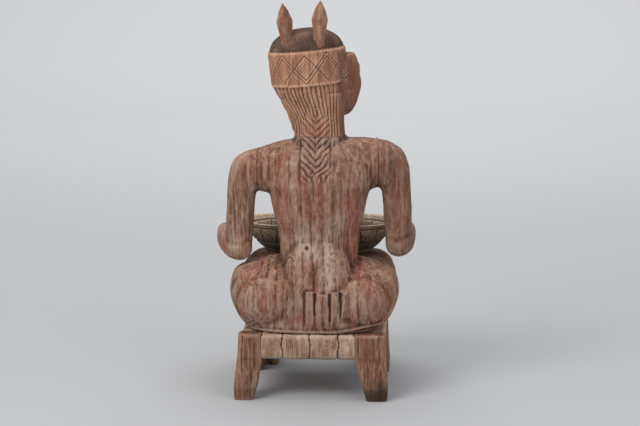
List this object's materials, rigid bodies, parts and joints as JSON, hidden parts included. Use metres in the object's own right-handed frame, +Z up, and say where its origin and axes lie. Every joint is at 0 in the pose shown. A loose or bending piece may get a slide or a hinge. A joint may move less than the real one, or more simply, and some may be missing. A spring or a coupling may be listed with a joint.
{
  "type": "carved ancestor figure",
  "caption": "Seated carved wooden ancestor figure on a low stool, head turned to its right, blade crests on the crown and an oval vessel resting on its lap.",
  "frame": {"origin": "middle of the underside of the whole figure's box, on the floor", "axes": "+Z up, +Y the way the figure faces, +X the figure's right-hand side"},
  "size_m": [0.3046, 0.308, 0.5924],
  "materials": {
    "red_stained_wood": "weathered, red pigment worn through to pale grain",
    "pale_worn_wood": "dry, tan, chalky, with saw marks",
    "stool_leg_wood": "weathered, dark and stained at the foot",
    "carved_head_wood": "carved and grooved, dark crown",
    "grey_vessel_wood": "dry, grey-brown",
    "crest_wood": "knife-cut facets, lightly stained",
    "peg_wood": "pale split wood"
  },
  "bodies": {
    "figure": {"stool_seat": "pale_worn_wood", "stool_leg_rear_left": "stool_leg_wood", "stool_leg_rear_right": "stool_leg_wood", "stool_leg_front_left": "stool_leg_wood", "stool_leg_front_right": "stool_leg_wood", "torso": "red_stained_wood", "head": "carved_head_wood", "upper_arm_left": "red_stained_wood", "upper_arm_right": "red_stained_wood", "forearm_left": "red_stained_wood", "forearm_right": "red_stained_wood", "thigh_left": "red_stained_wood", "thigh_right": "red_stained_wood", "shin_left": "red_stained_wood", "shin_right": "red_stained_wood", "neck_peg": "peg_wood", "shoulder_peg_left": "peg_wood", "shoulder_peg_right": "peg_wood", "elbow_peg_left": "peg_wood", "elbow_peg_right": "peg_wood", "hip_peg_left": "peg_wood", "hip_peg_right": "peg_wood", "knee_peg_left": "peg_wood", "knee_peg_right": "peg_wood", "seat_peg_left": "peg_wood", "seat_peg_right": "peg_wood"},
    "vessel": {"vessel": "grey_vessel_wood"},
    "crest_left": {"crest_left": "crest_wood"},
    "crest_right": {"crest_right": "crest_wood"}
  },
  "joints": [
    {"name": "vessel_lift", "type": "slide", "parent": "figure", "child": "vessel", "axis": [0, 0, 1], "range_m": [0, 0.12]},
    {"name": "crest_left_pull", "type": "slide", "parent": "figure", "child": "crest_left", "axis": [-0.1132, 0, 0.9936], "range_m": [0, 0.028]},
    {"name": "crest_right_pull", "type": "slide", "parent": "figure", "child": "crest_right", "axis": [0.0349, 0, 0.9994], "range_m": [0, 0.028]}
  ]
}
